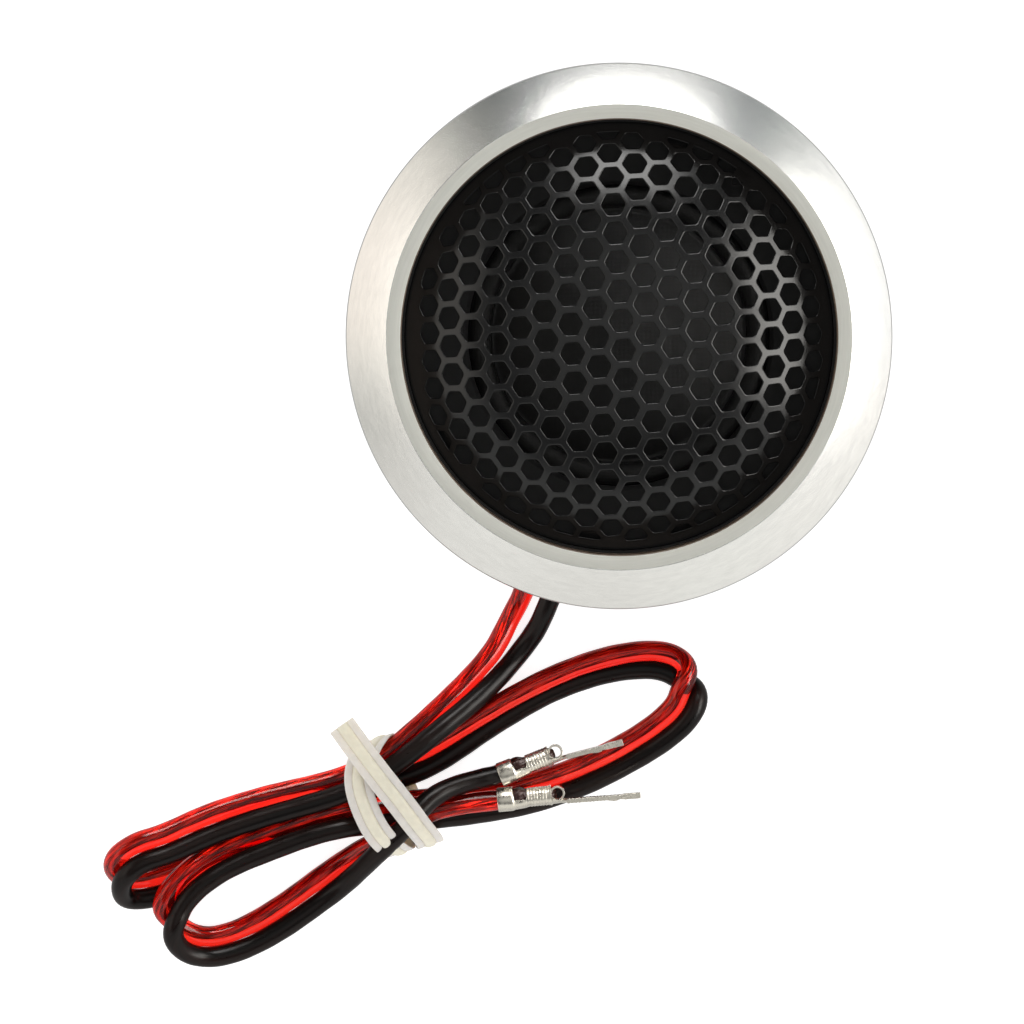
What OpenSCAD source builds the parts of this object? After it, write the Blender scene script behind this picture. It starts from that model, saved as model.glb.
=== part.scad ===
// Flush-mount car tweeter with a trim ring, a domed grille and a hank of two leads.
// The sound leaves along +Z. Z = 0 is the back of the rear housing and the surface the leads lie on.

/* [Trim ring] */
// Outer diameter of the trim ring
ring_d = 55; // [54.5:0.1:56]
// Diameter where the sloping bevel meets the flat band
band_d = 46.8; // [46.4:0.1:47.4]
// Diameter of the opening that the grille shows through
opening_d = 43.7; // [43.5:0.1:43.9]
// Height of the ring's top above the back
ring_top_z = 16.2; // [15.8:0.1:16.6]

/* [Body] */
// Height of the flange's underside, which rests on the panel
flange_z = 12.5; // [12.4:0.1:12.6]
// Diameter of the collar that fits the panel cut-out
collar_d = 45.8; // [45.6:0.1:46]
// Outer diameter of the rear housing
housing_d = 44.6; // [44.4:0.1:44.8]
// Height of the joint between rear housing and front plate
joint_z = 8.5; // [8.4:0.1:8.6]

/* [Grille] */
// Distance between the centres of neighbouring hexagonal holes
hex_pitch = 2.95; // [2.8:0.05:3.2]
// Width of a hexagonal hole across its flats
hex_flats = 2.2; // [2:0.05:2.4]
// Height of the grille's dome above its rim
dome_rise = 5.7; // [5.4:0.1:5.8]
// Thickness of the grille's sheet
sheet_t = 0.6; // [0.5:0.05:0.7]

/* [Diaphragm] */
// Height of the silk dome
silk_rise = 4.6; // [4.2:0.1:4.8]
// Diameter of the voice coil's former
former_d = 24.9; // [24.8:0.05:25]

/* [Leads] */
// Outer diameter of each lead's insulation
lead_d = 2.1; // [2:0.05:2.15]
// Width of the twist tie
tie_w = 2.8; // [2.6:0.1:3]

/* [Hidden] */
$fn = 96;

housing_wall = 1.2;
housing_back = 1.6;
housing_in_r = housing_d / 2 - housing_wall;
plate_flange_r = 26.2;   // front plate's flange, under the trim ring
plate_flange_t = 0.7;
seat_z = flange_z - 0.2; // where the grille's rim sits
rim_in_r = 20.9;         // where the grille's dome starts
rim_out_r = 21.55;
waveguide_r = 15.2;      // opening around the dome
shelf_z = 10.6;          // underside of the front plate's shelf
dome_z = 10.2;           // glue line of dome and surround
silk_r = 12.7;
silk_t = 0.25;
roll_r = 1.1;            // half-roll of the surround
roll_mid_r = 14;
yoke_z = 2.4;            // underside of the yoke
yoke_r = 15.5;
yoke_top_z = 9;
gap_r = 13.3;            // inside of the yoke's wall
pole_r = 12.15;
magnet_r = 11.4;
screw_r = 18.8;          // circle that the housing screws lie on
pillar_r = 1.9;
exit_az = 253;           // direction in which the leads leave the body
exit_z = 3.5;
lead_gap = 3;            // centre distance of the leads in the grommet
lug_x = 18.4;            // distance of the lugs from the axis
lug_t = 0.4;
hex_shift = [0.3, 0.3];  // the hole pattern isn't quite centred on the dome
hex_turn = 4;

// The pair of leads: [x, y, z, roll of the pair, centre distance].
// From the lugs out to the tie, back and forth in a hank, and out to the pins.
PAIR = [
    [-5.5, -18, 3.5, 0, 3], [-6.4, -21, 3.5, 0, 3], [-7.5, -24.5, 3.5, 0, 3],
    [-8.5, -27.5, 2.4, 0, 3], [-9.5, -29.5, 1.4, 0, 3], [-11, -32, 1.3, 0, 2.4],
    [-12.5, -34, 2, 10, 2.1], [-15.5, -37, 3.2, 35, 2.1], [-18.5, -39.5, 4.3, 45, 2.1],
    [-22, -42.5, 4.8, 50, 2.1], [-25.5, -45, 4.8, 50, 2.1], [-29.5, -46.5, 4.8, 40, 2.1],
    [-36, -48, 4.8, 20, 2.1], [-42, -50, 5, 5, 2.1],
    // first fold, at the left
    [-46, -52, 5.5, 0, 2.1], [-48.5, -52.5, 5.7, 0, 2.1], [-50.5, -54, 5.2, 0, 2.1],
    [-51, -55.5, 3.2, 0, 2.1], [-50, -57, 1.1, 0, 2.1], [-46.5, -56.5, 1, 0, 2.1],
    [-41, -54, 1.1, 0, 2.1], [-33.5, -49.5, 1.2, 0, 2.1], [-25.5, -45, 1.6, 0, 2.1],
    [-20, -44, 1.7, 20, 2.1], [-15, -40.5, 1.6, 35, 2.1], [-8.5, -36.5, 1.7, 45, 2.1],
    // second fold, at the right
    [-2.5, -34, 1.7, 40, 2.1], [3.5, -33, 1.7, 25, 2.1], [6.5, -34, 2, 10, 2.1],
    [7.5, -36.5, 3, 0, 2.1], [6.5, -39, 3.3, -10, 2.1], [2.5, -42, 2.2, -20, 2.1],
    [-3, -45, 1.3, -15, 2.1], [-8.5, -47, 1.2, -10, 2.1], [-14, -48, 1.2, 0, 2.1],
    [-19, -48.5, 1.5, 0, 2.1], [-23, -49, 1.6, 5, 2.1], [-26, -49, 4, 20, 2.1],
    [-29.5, -49.5, 4.1, 35, 2.1], [-35, -51.5, 3.7, 35, 2.1], [-40.5, -53.5, 4.2, 20, 2.1],
    // third fold, at the lower left
    [-44, -56, 5, 5, 2.1], [-46, -59, 4.4, 0, 2.1], [-44.5, -62, 2.6, 0, 2.1],
    [-41.5, -63, 1.3, 0, 2.1], [-37, -61.5, 1.1, 0, 2.1], [-32.5, -58.5, 1.1, 0, 2.1],
    [-28.5, -55.5, 1.2, -10, 2.1], [-25.5, -53, 3.5, -40, 2.1], [-22.5, -51, 5.7, -85, 2.1],
    // out from under the tie to the pins
    [-20.5, -49, 5.3, -105, 2.1], [-18.5, -47.5, 4.9, -135, 2.1],
    [-15.5, -46.7, 4.3, -170, 2.1], [-12, -46.2, 3.8, -180, 2.5], [-9.8, -45.6, 3.8, -180, 3.3]
];
SIDE = [-0.32, 0.947, 0]; // across the hank: the red lead lies on this side

// The twist tie: [x, y, z] along its middle, twice around the hank.
TIE = [
    [-28, -39.5, 8.8], [-26, -42.3, 8.6], [-24, -45, 8.4], [-21.7, -47.8, 8.6],
    [-20.2, -50, 7.8], [-19, -51.5, 5.8], [-19, -52.2, 2.8], [-19.5, -51.7, 0.2],
    [-21.5, -47.3, 0.2], [-23.2, -43.8, 0.2], [-23.7, -42.2, 0.2], [-23.9, -41, 3],
    [-24.7, -41.4, 5.8], [-26.2, -43.2, 7], [-26.5, -45.5, 7.4], [-25.7, -48, 7.7],
    [-24.5, -50.5, 8], [-22.7, -52.5, 6.4], [-21.7, -53, 3], [-22.2, -52, 0.2],
    [-23, -49.3, 0.2], [-23.5, -47.3, 0.2]
];
tie_t = 0.35;
ALONG = [0.947, 0.32, 0]; // along the hank: the tie's width lies this way

// Pins: [x, y, z] of the barrel's back, its heading, rise, bend and length of the blade.
BLACK_PIN = [-12, -44.9, 3.85, 21.5, 2, 7, 5.8];
RED_PIN = [-12.2, -47.45, 3.85, 5.5, 2, 1, 7.4];

function unit(v) = v / norm(v);

// A cubic B-spline's weights, and its point at t of segment i.
function weights(t) = [
    pow(1 - t, 3) / 6, (3 * pow(t, 3) - 6 * t * t + 4) / 6,
    (-3 * pow(t, 3) + 3 * t * t + 3 * t + 1) / 6, pow(t, 3) / 6
];
function padded(p) = let (n = len(p) - 1)
    concat([2 * p[0] - p[1]], p, [2 * p[n] - p[n - 1]]);
function spline(p) = let (q = padded(p), w = weights(0))
    [for (i = [0 : len(p) - 1]) w[0] * q[i] + w[1] * q[i + 1] + w[2] * q[i + 2]];
function headings(p) = let (n = len(p) - 1)
    [for (i = [0 : n]) unit(p[min(i + 1, n)] - p[max(i - 1, 0)])];
function across(v, heading) = unit(v - (v * heading) * heading);
function places(p) = [for (q = p) [q[0], q[1], q[2]]];

// The middle of one lead of the pair; sign is 1 for the red lead and -1 for the black.
function lead_line(sign) = let (s = spline(PAIR), m = places(s), h = headings(m))
    [for (i = [0 : len(m) - 1]) let (u = across(SIDE, h[i]), b = cross(h[i], u))
        m[i] + sign * s[i][4] / 2 * (cos(s[i][3]) * u + sin(s[i][3]) * b)];

// A solid swept along a line: shape is a list of [across, up] corners.
module sweep(line, shape, side) {
    h = headings(line);
    n = len(line);
    k = len(shape);
    points = [for (i = [0 : n - 1]) let (u = across(side, h[i]), b = cross(h[i], u))
        for (c = shape) line[i] + c[0] * u + c[1] * b];
    walls = [for (i = [0 : n - 2]) for (j = [0 : k - 1]) for (half = [0, 1])
        let (a = i * k + j, b = i * k + (j + 1) % k)
        half == 0 ? [a, b, b + k] : [a, b + k, a + k]];
    polyhedron(concat(points), concat(
        walls,
        [for (j = [1 : k - 2]) [0, j + 1, j]],
        [for (j = [1 : k - 2]) [(n - 1) * k, (n - 1) * k + j, (n - 1) * k + j + 1]]
    ));
}

module lead_tube(sign) {
    r = lead_d / 2 - 0.05;
    sweep(lead_line(sign), [for (a = [0 : 45 : 315]) r * [cos(a), sin(a)]], SIDE);
}

// Turns a child so that its +X points out where the leads leave.
module at_exit() {
    rotate([0, 0, exit_az]) children();
}

module at_screws() {
    for (a = [60, 180, 300])
        rotate([0, 0, exit_az + a]) translate([screw_r, 0, 0]) children();
}

module ring_solid(outline) {
    rotate_extrude() polygon(outline);
}

module tube(r_out, r_in, z0, z1) {
    translate([0, 0, z0]) difference() {
        cylinder(r = r_out, h = z1 - z0);
        translate([0, 0, -1]) cylinder(r = r_in, h = z1 - z0 + 2);
    }
}

// A slot-shaped bar along X: two round ends and a flat middle.
module stadium_bar(x0, x1, r) {
    translate([x0, 0, exit_z]) rotate([90, 0, 90]) linear_extrude(x1 - x0) {
        for (y = [-1.6, 1.6]) translate([y, 0]) circle(r);
        square([3.2, 2 * r], center = true);
    }
}

module trim_ring() {
    color("gainsboro") ring_solid([
        [opening_d / 2, flange_z + plate_flange_t],
        [plate_flange_r, flange_z + plate_flange_t],
        [plate_flange_r, flange_z],
        [ring_d / 2, flange_z],
        [ring_d / 2, flange_z + 0.75],
        [ring_d / 2 - 0.2, flange_z + 1.05],
        [band_d / 2, ring_top_z],
        [opening_d / 2 + 0.15, ring_top_z],
        [opening_d / 2, ring_top_z - 0.15]
    ]);
}

// Height of the grille's outer surface: flat at the middle, steeper towards the rim.
function grille_z(r) = seat_z + sheet_t + dome_rise * (1 - pow(r / rim_in_r, 2.8));

module grille_shell() {
    steps = [0, 5, 8, 10.5, 12.5, 14.5, 16.2, 17.6, 18.8, 19.9, rim_in_r];
    outer = [for (r = steps) [r, grille_z(r)]];
    inner = [for (i = [len(steps) - 1 : -1 : 0])
        [steps[i], max(seat_z, grille_z(steps[i]) - sheet_t)]];
    ring_solid(concat(
        outer,
        [[rim_out_r, seat_z + sheet_t], [rim_out_r, seat_z]],
        inner
    ));
}

// The hole pattern is punched in the flat sheet; pressing the dome draws the outer holes inwards.
module hex_holes() {
    column = hex_pitch * sqrt(3) / 2;
    for (c = [-8 : 8], k = [-8 : 8]) {
        x = c * column;
        y = (k + (c % 2 == 0 ? 0.5 : 0)) * hex_pitch;
        flat_x = hex_shift[0] + x * cos(hex_turn) - y * sin(hex_turn);
        flat_y = hex_shift[1] + x * sin(hex_turn) + y * cos(hex_turn);
        drawn = 1 - 0.063 * pow(norm([flat_x, flat_y]) / rim_in_r, 3.6);
        if (norm([flat_x, flat_y]) * drawn < rim_in_r - 1.5)
            translate([flat_x * drawn, flat_y * drawn, seat_z]) rotate([0, 0, hex_turn])
                cylinder(d = hex_flats / cos(30), h = 8, $fn = 6);
    }
}

module grille() {
    color("black") difference() {
        grille_shell();
        hex_holes();
    }
}

module front_plate() {
    color("dimgray") difference() {
        union() {
            ring_solid([
                [waveguide_r, shelf_z], [20.4, shelf_z], [20.4, joint_z - 0.8],
                [housing_in_r - 0.05, joint_z - 0.8], [housing_in_r - 0.05, joint_z],
                [collar_d / 2, joint_z], [collar_d / 2, flange_z],
                [plate_flange_r, flange_z], [plate_flange_r, flange_z + plate_flange_t],
                [rim_out_r + 0.05, flange_z + plate_flange_t], [rim_out_r + 0.05, seat_z],
                [rim_in_r, seat_z], [20.5, seat_z - 0.4], [waveguide_r + 0.4, 11.4],
                [waveguide_r, 11]
            ]);
            at_screws() translate([0, 0, housing_back])
                cylinder(r = pillar_r, h = shelf_z - housing_back + 0.2);
        }
        at_screws() translate([0, 0, housing_back - 1]) cylinder(r = 0.8, h = 6.6);
    }
}

module front_gasket() {
    color("darkslategray") tube(16.6, waveguide_r, dome_z + 0.02, shelf_z);
}

module dome() {
    ball_r = (silk_r * silk_r + silk_rise * silk_rise) / (2 * silk_rise);
    ball_z = dome_z + silk_rise - ball_r;
    color("darkgray") union() {
        difference() {
            translate([0, 0, ball_z]) sphere(r = ball_r);
            translate([0, 0, ball_z]) sphere(r = ball_r - silk_t);
            translate([0, 0, dome_z - 3 * ball_r]) cylinder(r = 2 * ball_r, h = 3 * ball_r);
        }
        tube(silk_r + 0.1, silk_r - 0.5, dome_z - 0.2, dome_z + 0.1);
    }
}

module surround() {
    color("black") union() {
        rotate_extrude() intersection() {
            translate([roll_mid_r, dome_z]) difference() {
                circle(roll_r);
                circle(roll_r - 0.2);
            }
            translate([silk_r, dome_z]) square([4, 3]);
        }
        tube(16.6, roll_mid_r + roll_r - 0.2, dome_z - 0.18, dome_z + 0.02);
    }
}

module coil_former() {
    color("wheat") tube(former_d / 2 + 0.15, former_d / 2, 5.6, dome_z - 0.2);
}

module voice_coil() {
    color("chocolate") tube(former_d / 2 + 0.5, former_d / 2 + 0.15, 6.2, 8.6);
}

module diaphragm_ring() {
    color("dimgray") difference() {
        union() {
            tube(16.6, waveguide_r, yoke_top_z, dome_z - 0.18);
            tube(16.6, yoke_r, yoke_top_z - 1.6, yoke_top_z + 0.01);
        }
        at_exit() for (y = [-1.5, 1.5])
            translate([14, y - 0.4, 9.2]) cube([4, 0.8, 2]);
    }
}

module top_plate() {
    color("silver") translate([0, 0, 7.4]) cylinder(r = pole_r, h = 1.6);
}

module magnet() {
    color("gray") translate([0, 0, 4.4]) cylinder(r = magnet_r, h = 3);
}

module yoke() {
    color("silver") ring_solid([
        [0, yoke_z], [yoke_r - 0.4, yoke_z], [yoke_r, yoke_z + 0.4],
        [yoke_r, yoke_top_z], [gap_r, yoke_top_z], [gap_r, 4.4], [0, 4.4]
    ]);
}

module damping_pad() {
    color("lightslategray") translate([0, 0, yoke_top_z]) cylinder(r = 10.5, h = 1);
}

module rear_housing() {
    r = housing_d / 2;
    color("black") difference() {
        ring_solid([
            [0, 0], [r - 0.8, 0], [r, 0.8], [r, joint_z], [housing_in_r, joint_z],
            [housing_in_r, housing_back], [0, housing_back]
        ]);
        at_screws() {
            translate([0, 0, -1]) cylinder(r = 0.95, h = housing_back + 2);
            translate([0, 0, -1]) cylinder(r = 1.7, h = 2);
        }
        at_exit() stadium_bar(19, 24, 1.5);
    }
}

module rear_pad() {
    color("darkgray") translate([0, 0, housing_back]) cylinder(r = 14.5, h = yoke_z - housing_back);
}

module housing_screws() {
    color("silver") at_screws() difference() {
        union() {
            translate([0, 0, 0.2]) cylinder(r = 1.55, h = 0.8);
            translate([0, 0, 0.9]) cylinder(r = 0.8, h = 6);
        }
        for (a = [0, 90])
            rotate([0, 0, a]) translate([-0.9, -0.15, 0]) cube([1.8, 0.3, 0.6]);
    }
}

module terminal_board() {
    color("peru") difference() {
        at_exit() translate([14, -5.5, 5.6]) cube([6.1, 11, 0.8]);
        cylinder(r = yoke_r, h = 10);
        at_exit() for (y = [-1.5, 1.5])
            translate([lug_x, y - 0.8, 5]) cube([lug_t, 1.6, 2]);
    }
}

module terminal_lugs() {
    color("lightgray") at_exit() for (y = [-1.5, 1.5])
        translate([lug_x, y - 0.8, 2.6]) cube([lug_t, 1.6, 4.8]);
}

module solder_joints() {
    color("silver") at_exit() for (y = [-1.5, 1.5])
        translate([lug_x - 0.6, y, exit_z]) rotate([0, 90, 0])
            cylinder(r1 = 0.4, r2 = 0.75, h = 0.6);
}

module tinsel_leads() {
    color("goldenrod") at_exit() for (y = [-1.5, 1.5]) translate([0, y, 0]) {
        translate([13.1, 0, 9.6]) rotate([0, 90, 0]) cylinder(r = 0.2, h = 4.5);
        translate([17.6, 0, 6.8]) cylinder(r = 0.2, h = 3);
        translate([17.6, 0, 7]) rotate([0, 90, 0]) cylinder(r = 0.2, h = lug_x - 17.6);
    }
}

module capacitor() {
    color("midnightblue") rotate([0, 0, exit_az + 120]) translate([18.2, 0, 3.8]) {
        rotate([90, 0, 0]) translate([0, 0, -4.7]) cylinder(r = 2.2, h = 9.4);
        rotate([90, 0, 0]) translate([0, 0, -6.2]) cylinder(r = 0.25, h = 12.4);
    }
}

module cable_grommet() {
    color("black") at_exit() difference() {
        union() {
            stadium_bar(19.9, 20.8, 1.85);
            stadium_bar(20.7, 22.4, 1.5);
            stadium_bar(22.3, 22.85, 1.8);
        }
        for (y = [-1.5, 1.5])
            translate([19, y, exit_z]) rotate([0, 90, 0]) cylinder(d = lead_d, h = 8);
    }
}

module red_lead() {
    color("red") lead_tube(1);
}

module black_lead() {
    color("black") lead_tube(-1);
}

// A stamped crimp pin along +X, open upwards, its strip on the -Y side.
module pin_shape(bend, blade) {
    rotate([0, 90, 0]) difference() {
        cylinder(r = 1.2, h = 1.6);
        translate([0, 0, -1]) cylinder(r = 1, h = 4);
    }
    translate([1.5, -1.2, -0.6]) cube([1.7, 0.18, 1.2]);
    translate([3, -0.15, 0]) rotate([0, 90, 0]) cylinder(r = 0.88, h = 2.4);
    translate([3, -1.2, -0.6]) cube([0.5, 1, 1.2]);
    translate([6.3, 0.05, -0.8]) difference() {
        cylinder(r = 0.8, h = 1.6);
        translate([0, 0, -1]) cylinder(r = 0.5, h = 4);
    }
    translate([5.2, -0.95, -0.8]) cube([2.2, 0.35, 1.6]);
    translate([7, -0.95, 0]) rotate([0, 0, -bend]) {
        translate([0, 0, -0.8]) cube([blade, 0.45, 1.6]);
        translate([blade - 1.2, -0.1, -0.6]) cube([1.3, 0.65, 1.2]);
    }
}

module place_pin(p) {
    translate([p[0], p[1], p[2]]) rotate([0, 0, p[3]]) rotate([0, -p[4], 0])
        pin_shape(p[5], p[6]);
}

module red_pin_terminal() {
    color("silver") place_pin(RED_PIN);
}

module black_pin_terminal() {
    color("silver") place_pin(BLACK_PIN);
}

module twist_tie() {
    w = tie_w / 2;
    t = tie_t / 2;
    color("beige") sweep(spline(TIE), [[w, -t], [w, t], [-w, t], [-w, -t]], ALONG);
}

trim_ring();
grille();
front_plate();
front_gasket();
dome();
surround();
coil_former();
voice_coil();
diaphragm_ring();
top_plate();
magnet();
yoke();
damping_pad();
rear_housing();
rear_pad();
housing_screws();
terminal_board();
terminal_lugs();
solder_joints();
tinsel_leads();
capacitor();
cable_grommet();
red_lead();
black_lead();
red_pin_terminal();
black_pin_terminal();
twist_tie();
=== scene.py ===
import math
from functools import partial

import bmesh
import bpy
import numpy as np
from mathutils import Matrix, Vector
from mathutils.geometry import delaunay_2d_cdt

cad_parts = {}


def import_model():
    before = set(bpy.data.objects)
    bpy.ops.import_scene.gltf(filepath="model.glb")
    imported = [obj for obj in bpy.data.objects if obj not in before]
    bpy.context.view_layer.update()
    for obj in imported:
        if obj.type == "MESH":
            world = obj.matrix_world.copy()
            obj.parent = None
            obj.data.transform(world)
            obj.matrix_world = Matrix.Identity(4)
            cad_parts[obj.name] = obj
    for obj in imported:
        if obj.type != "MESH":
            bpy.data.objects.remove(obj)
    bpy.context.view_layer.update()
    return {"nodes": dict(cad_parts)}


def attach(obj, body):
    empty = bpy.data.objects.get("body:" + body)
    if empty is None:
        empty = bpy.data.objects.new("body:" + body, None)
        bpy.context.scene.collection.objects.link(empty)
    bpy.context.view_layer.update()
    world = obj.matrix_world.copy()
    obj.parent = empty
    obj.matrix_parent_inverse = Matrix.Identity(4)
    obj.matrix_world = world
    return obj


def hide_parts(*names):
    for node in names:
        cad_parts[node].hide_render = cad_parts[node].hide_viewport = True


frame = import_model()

MM = 0.001
scene = bpy.context.scene


# ---------------------------------------------------------------- camera

# In metres and degrees: the camera hangs almost straight above the middle of the view.
VIEW_MIDDLE = Vector((-0.01076, -0.0177, 0.013))
VIEW_DISTANCE = 1.2
VIEW_TILT = 3.0
LENS_MM = 419.3


def make_camera():
    """A long lens far above, so the object is seen almost without perspective."""
    data = bpy.data.cameras.new("camera")
    data.sensor_width = 36.0
    data.lens = LENS_MM
    data.clip_start, data.clip_end = 0.05, 20.0
    camera = bpy.data.objects.new("camera", data)
    scene.collection.objects.link(camera)
    tilt = math.radians(VIEW_TILT)
    camera.location = VIEW_MIDDLE + VIEW_DISTANCE * Vector((0, math.sin(tilt), math.cos(tilt)))
    camera.rotation_euler = (-tilt, 0, 0)
    scene.camera = camera


make_camera()


# ---------------------------------------------------------------- routes

# The pair of leads in mm and degrees: x, y, z, roll of the pair, distance between its middles.
PAIR = [
    (-5.5, -18, 3.5, 0, 3), (-6.4, -21, 3.5, 0, 3), (-7.5, -24.5, 3.5, 0, 3),
    (-8.5, -27.5, 2.4, 0, 3), (-9.5, -29.5, 1.4, 0, 3), (-11, -32, 1.3, 0, 2.4),
    (-12.5, -34, 2, 10, 2.1), (-15.5, -37, 3.2, 35, 2.1), (-18.5, -39.5, 4.3, 45, 2.1),
    (-22, -42.5, 4.8, 50, 2.1), (-25.5, -45, 4.8, 50, 2.1), (-29.5, -46.5, 4.8, 40, 2.1),
    (-36, -48, 4.8, 20, 2.1), (-42, -50, 5, 5, 2.1),
    (-46, -52, 5.5, 0, 2.1), (-48.5, -52.5, 5.7, 0, 2.1), (-50.5, -54, 5.2, 0, 2.1),
    (-51, -55.5, 3.2, 0, 2.1), (-50, -57, 1.1, 0, 2.1), (-46.5, -56.5, 1, 0, 2.1),
    (-41, -54, 1.1, 0, 2.1), (-33.5, -49.5, 1.2, 0, 2.1), (-25.5, -45, 1.6, 0, 2.1),
    (-20, -44, 1.7, 20, 2.1), (-15, -40.5, 1.6, 35, 2.1), (-8.5, -36.5, 1.7, 45, 2.1),
    (-2.5, -34, 1.7, 40, 2.1), (3.5, -33, 1.7, 25, 2.1), (6.5, -34, 2, 10, 2.1),
    (7.5, -36.5, 3, 0, 2.1), (6.5, -39, 3.3, -10, 2.1), (2.5, -42, 2.2, -20, 2.1),
    (-3, -45, 1.3, -15, 2.1), (-8.5, -47, 1.2, -10, 2.1), (-14, -48, 1.2, 0, 2.1),
    (-19, -48.5, 1.5, 0, 2.1), (-23, -49, 1.6, 5, 2.1), (-26, -49, 4, 20, 2.1),
    (-29.5, -49.5, 4.1, 35, 2.1), (-35, -51.5, 3.7, 35, 2.1), (-40.5, -53.5, 4.2, 20, 2.1),
    (-44, -56, 5, 5, 2.1), (-46, -59, 4.4, 0, 2.1), (-44.5, -62, 2.6, 0, 2.1),
    (-41.5, -63, 1.3, 0, 2.1), (-37, -61.5, 1.1, 0, 2.1), (-32.5, -58.5, 1.1, 0, 2.1),
    (-28.5, -55.5, 1.2, -10, 2.1), (-25.5, -53, 3.5, -40, 2.1), (-22.5, -51, 5.7, -85, 2.1),
    (-20.5, -49, 5.3, -105, 2.1), (-18.5, -47.5, 4.9, -135, 2.1),
    (-15.5, -46.7, 4.3, -170, 2.1), (-12, -46.2, 3.8, -180, 2.5), (-9.8, -45.6, 3.8, -180, 3.3),
]
# Across the hank, from the black lead to the red one.
SIDE = np.array([-0.32, 0.947, 0.0])
# The twist tie in mm, twice around the hank.
TIE = [
    (-28, -39.5, 8.8), (-26, -42.3, 8.6), (-24, -45, 8.4), (-21.7, -47.8, 8.6),
    (-20.2, -50, 7.8), (-19, -51.5, 5.8), (-19, -52.2, 2.8), (-19.5, -51.7, 0.2),
    (-21.5, -47.3, 0.2), (-23.2, -43.8, 0.2), (-23.7, -42.2, 0.2), (-23.9, -41, 3),
    (-24.7, -41.4, 5.8), (-26.2, -43.2, 7), (-26.5, -45.5, 7.4), (-25.7, -48, 7.7),
    (-24.5, -50.5, 8), (-22.7, -52.5, 6.4), (-21.7, -53, 3), (-22.2, -52, 0.2),
    (-23, -49.3, 0.2), (-23.5, -47.3, 0.2),
]
# Along the hank, which is across the tie.
ALONG = np.array([0.947, 0.32, 0.0])


def spline(points, steps):
    """A uniform cubic B-spline from the first point to the last."""
    p = np.array(points, float)
    q = np.vstack([2 * p[0] - p[1], p, 2 * p[-1] - p[-2]])
    out = []
    for a, b, c, d in zip(q, q[1:], q[2:], q[3:]):
        for k in range(steps):
            t = k / steps
            out.append(((1 - t) ** 3 * a + (3 * t ** 3 - 6 * t * t + 4) * b
                        + (-3 * t ** 3 + 3 * t * t + 3 * t + 1) * c + t ** 3 * d) / 6)
    out.append(p[-1])
    return np.array(out)


def unit(v):
    """Vectors scaled to length 1."""
    return v / np.linalg.norm(v, axis=-1, keepdims=True)


def frames(line, side):
    """Heading, across and up vectors along a line."""
    heading = unit(np.gradient(line, axis=0))
    across = unit(side - (heading @ side)[:, None] * heading)
    return heading, across, np.cross(heading, across)


def lead_lines(steps):
    """The middle lines of the red and the black lead, in mm."""
    rows = spline(PAIR, steps)
    middle = rows[:, :3]
    _, across, up = frames(middle, SIDE)
    roll = np.radians(rows[:, 3:4])
    apart = across * np.cos(roll) + up * np.sin(roll)
    offset = apart * rows[:, 4:5] / 2
    return middle + offset, middle - offset, apart


# ---------------------------------------------------------------- mesh helpers

def new_object(name, vertices, faces, mat):
    """A smooth mesh piece from points in mm."""
    mesh = bpy.data.meshes.new(name)
    mesh.from_pydata([tuple(MM * float(c) for c in v) for v in vertices], [], faces)
    mesh.validate()
    mesh.update()
    mesh.shade_smooth()
    mesh.materials.append(mat)
    obj = bpy.data.objects.new(name, mesh)
    scene.collection.objects.link(obj)
    return obj


def finish_piece(obj, nodes=(), body="body"):
    """Puts a piece on its body and hides the CAD nodes it stands for."""
    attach(obj, body)
    if nodes:
        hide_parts(*nodes)
    return obj


def sweep(line, across, up, section, caps=True):
    """Vertices and faces of a closed section carried along a line.

    section(i) gives an (n, 2) array of across and up offsets at ring i.
    """
    rings = []
    for i, (p, a, b) in enumerate(zip(line, across, up)):
        s = section(i)
        rings.append(p + s[:, :1] * a + s[:, 1:] * b)
    n = len(rings[0])
    vertices = np.vstack(rings)
    faces = []
    for i in range(len(rings) - 1):
        for j in range(n):
            a, b = i * n + j, i * n + (j + 1) % n
            faces.append((a, b, b + n, a + n))
    if caps:
        faces.append(tuple(range(n - 1, -1, -1)))
        last = (len(rings) - 1) * n
        faces.append(tuple(range(last, last + n)))
    return vertices, faces


def tube_uv(obj, distance, n):
    """UVs of a swept tube: millimetres along it, and turns around it."""
    layer = obj.data.uv_layers.new(name="along")
    last = (len(distance) - 1) * n
    for k, face in enumerate(obj.data.polygons):
        if k >= last:
            continue
        i, j = divmod(k, n)
        ends = {i * n + j: (i, j), i * n + (j + 1) % n: (i, j + 1),
                (i + 1) * n + j: (i + 1, j), (i + 1) * n + (j + 1) % n: (i + 1, j + 1)}
        for loop in face.loop_indices:
            a, b = ends[obj.data.loops[loop].vertex_index]
            layer.data[loop].uv = (distance[a], b / n)


def round_section(radius, n):
    """A circle of n points."""
    angle = np.linspace(0, 2 * math.pi, n, endpoint=False)
    return radius * np.column_stack([np.cos(angle), np.sin(angle)])


def mark_sharp(obj, degrees):
    """Sharp edges where two faces meet at more than this angle."""
    bm = bmesh.new()
    bm.from_mesh(obj.data)
    limit = math.radians(degrees)
    for edge in bm.edges:
        if len(edge.link_faces) == 2 and edge.calc_face_angle(0) > limit:
            edge.smooth = False
    bm.to_mesh(obj.data)
    bm.free()


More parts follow.
